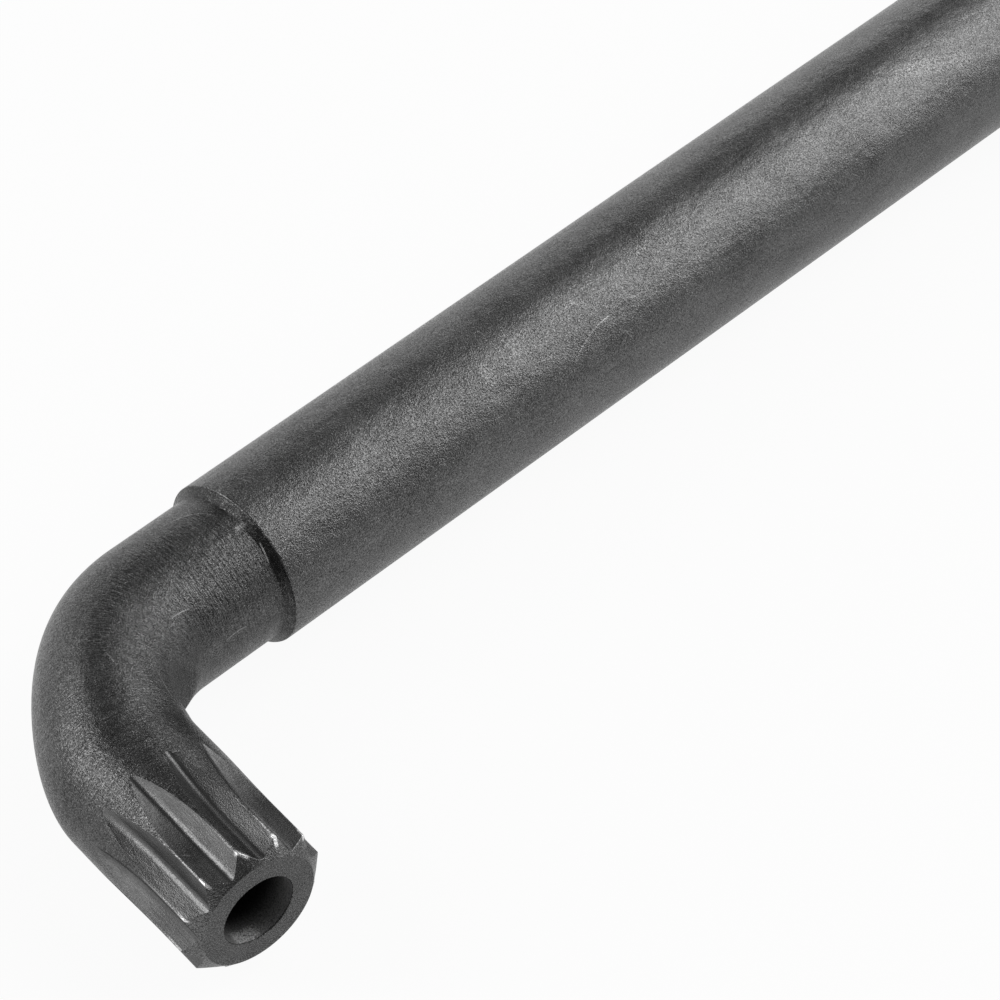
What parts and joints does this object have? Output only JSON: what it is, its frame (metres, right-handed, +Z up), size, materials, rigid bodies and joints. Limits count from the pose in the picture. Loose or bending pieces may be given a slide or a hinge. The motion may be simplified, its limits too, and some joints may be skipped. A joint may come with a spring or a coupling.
{
  "type": "spline key",
  "caption": "Angled key with a round shank, a thinner bent neck and a short fluted bit with a pin hole in its tip, for turning recessed spline screws.",
  "frame": {"origin": "centre of the tip's end face, where the pin hole opens", "axes": "-Y out of the tip along the bit's axis, +Z up off the surface the key lies on, and the shank runs 6 degrees from +X towards +Y"},
  "size_m": [0.1248, 0.0386, 0.011],
  "materials": {
    "blackened_steel": "black oxide over turned and ground steel, satin"
  },
  "bodies": {
    "root": {"spline_key": "blackened_steel"}
  },
  "joints": []
}
